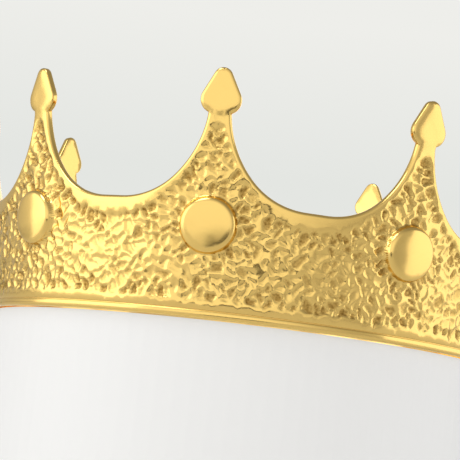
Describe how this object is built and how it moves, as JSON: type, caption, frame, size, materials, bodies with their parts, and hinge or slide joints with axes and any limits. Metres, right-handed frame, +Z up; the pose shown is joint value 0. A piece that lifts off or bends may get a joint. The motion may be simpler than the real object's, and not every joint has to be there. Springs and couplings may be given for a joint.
{
  "type": "metal crown",
  "caption": "Open cast-metal crown to wear on the head: a flared round band with nine scalloped points, spade finials, round bosses and a hammered face.",
  "frame": {"origin": "middle of the crown's box in the plane of the bottom edge; the ring's own axis stands 2.4 mm behind it, at Y = +0.0024", "axes": "+Z up through the points, -Y towards the front point, a gap between two points at +Y"},
  "size_m": [0.2014, 0.1992, 0.079],
  "materials": {
    "gold_plate": "gold plate on a zinc casting: polished borders, bosses and finials, hammered field with darker pit floors"
  },
  "bodies": {
    "root": {"crown": "gold_plate"}
  },
  "joints": []
}
